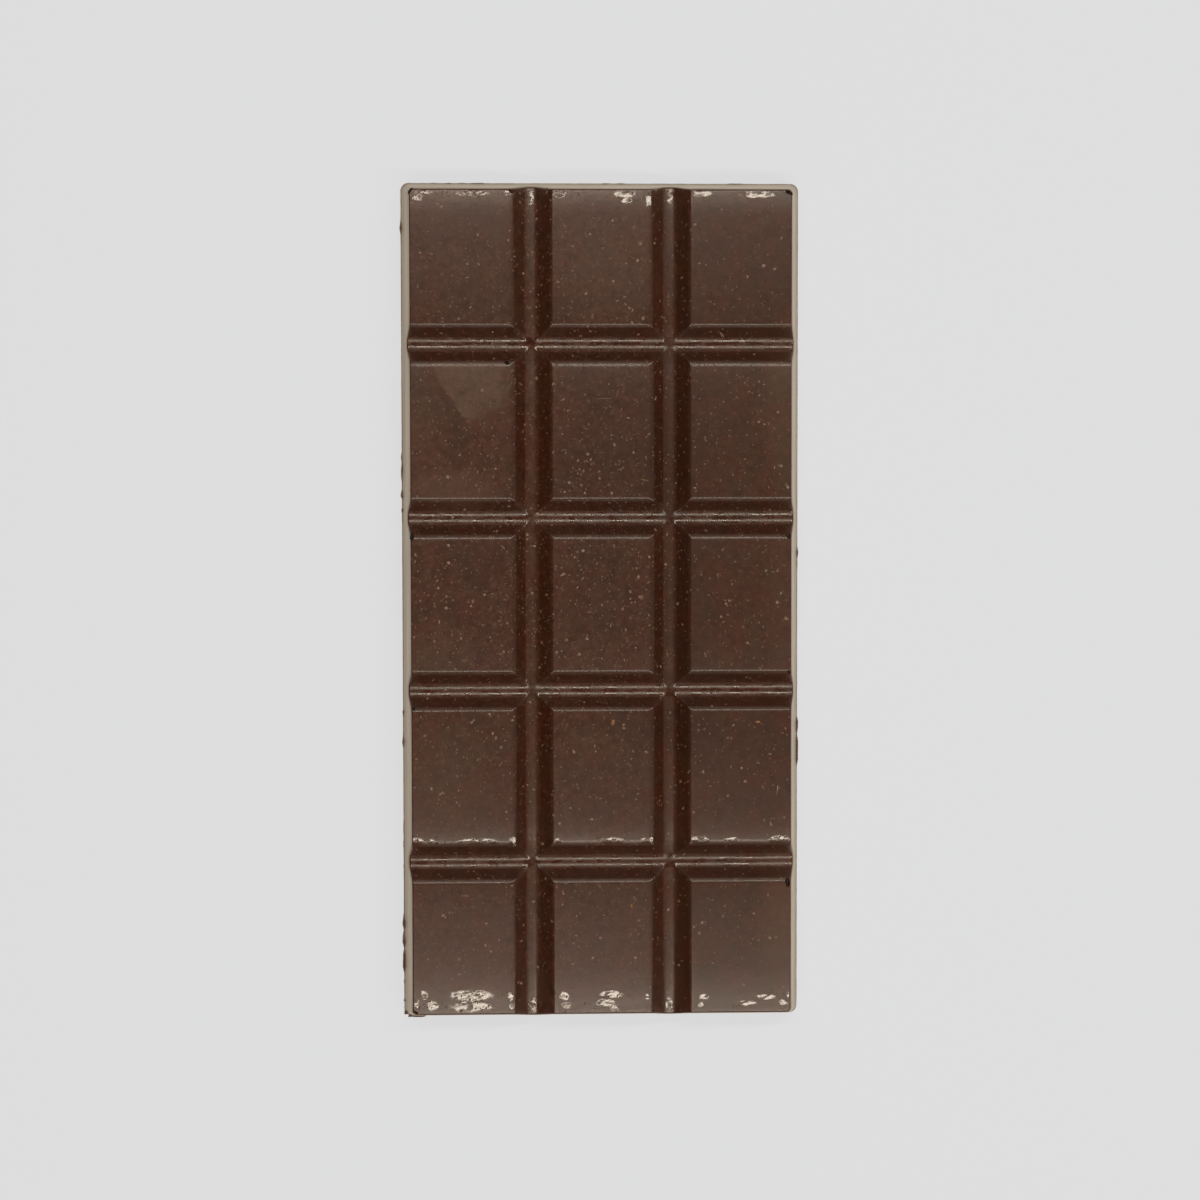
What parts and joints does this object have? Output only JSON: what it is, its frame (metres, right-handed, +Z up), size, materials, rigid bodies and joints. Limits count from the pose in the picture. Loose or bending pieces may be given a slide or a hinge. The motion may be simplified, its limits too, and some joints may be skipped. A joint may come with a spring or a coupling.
{
  "type": "chocolate bar",
  "caption": "Flat moulded bar of dark chocolate with rectangular facets parted by break grooves, drafted walls and a flat back.",
  "frame": {"origin": "middle of the flat back, on the surface that the bar lies on", "axes": "+Y along the bar's length, +X across it, +Z up out of the moulded face"},
  "size_m": [0.0756, 0.1586, 0.0076],
  "materials": {
    "dark_chocolate": "tempered dark chocolate, half gloss, with fine tan flecks of cocoa"
  },
  "bodies": {
    "root": {"chocolate_bar": "dark_chocolate"}
  },
  "joints": []
}
